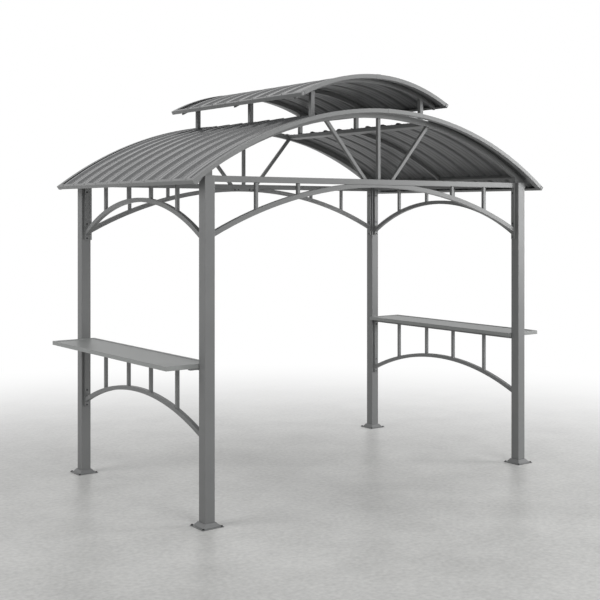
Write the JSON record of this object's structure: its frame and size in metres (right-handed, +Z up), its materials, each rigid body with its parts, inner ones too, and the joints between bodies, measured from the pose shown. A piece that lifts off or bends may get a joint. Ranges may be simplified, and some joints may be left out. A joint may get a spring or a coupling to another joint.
{
  "type": "grill gazebo",
  "caption": "Free-standing steel grill gazebo with a two-tier arched roof of corrugated sheet, arched braces between four posts and a shelf on each side",
  "frame": {"origin": "on the ground under the middle of the shelter, halfway between the left and right shelves and halfway between the front and back fascias", "axes": "+X runs from the left posts to the right posts along the long side, +Y from the front to the back, +Z is up"},
  "size_m": [2.782, 1.602, 2.3965],
  "materials": {
    "frame_coat": "satin dark grey powder coat on steel tube",
    "roof_coat": "satin dark grey baked coat on corrugated steel sheet",
    "trim_coat": "satin dark grey powder coat on folded steel trim",
    "shelf_coat": "satin grey powder coat on pressed steel shelves"
  },
  "bodies": {
    "root": {"back_brace": "frame_coat", "back_gable_web": "frame_coat", "back_left_foot_cover": "frame_coat", "back_left_post": "frame_coat", "back_rafter": "frame_coat", "back_right_foot_cover": "frame_coat", "back_right_post": "frame_coat", "back_tie_beam": "frame_coat", "front_brace": "frame_coat", "front_gable_web": "frame_coat", "front_left_foot_cover": "frame_coat", "front_left_post": "frame_coat", "front_rafter": "frame_coat", "front_right_foot_cover": "frame_coat", "front_right_post": "frame_coat", "front_tie_beam": "frame_coat", "left_counter_frame": "frame_coat", "left_eave_purlin": "frame_coat", "left_half_rafter": "frame_coat", "left_ridge_purlin": "frame_coat", "left_roof_panel": "roof_coat", "left_shelf": "shelf_coat", "left_side_frame": "frame_coat", "left_vent_posts": "frame_coat", "main_back_fascia": "trim_coat", "main_front_fascia": "trim_coat", "main_left_eave_rail": "trim_coat", "main_right_eave_rail": "trim_coat", "right_counter_frame": "frame_coat", "right_eave_purlin": "frame_coat", "right_half_rafter": "frame_coat", "right_ridge_purlin": "frame_coat", "right_roof_panel": "roof_coat", "right_shelf": "shelf_coat", "right_side_frame": "frame_coat", "right_vent_posts": "frame_coat", "upper_back_fascia": "trim_coat", "upper_back_rafter": "frame_coat", "upper_front_fascia": "trim_coat", "upper_front_rafter": "frame_coat", "upper_left_eave_rail": "trim_coat", "upper_middle_rafter": "frame_coat", "upper_right_eave_rail": "trim_coat", "upper_roof_panel": "roof_coat"}
  },
  "joints": []
}
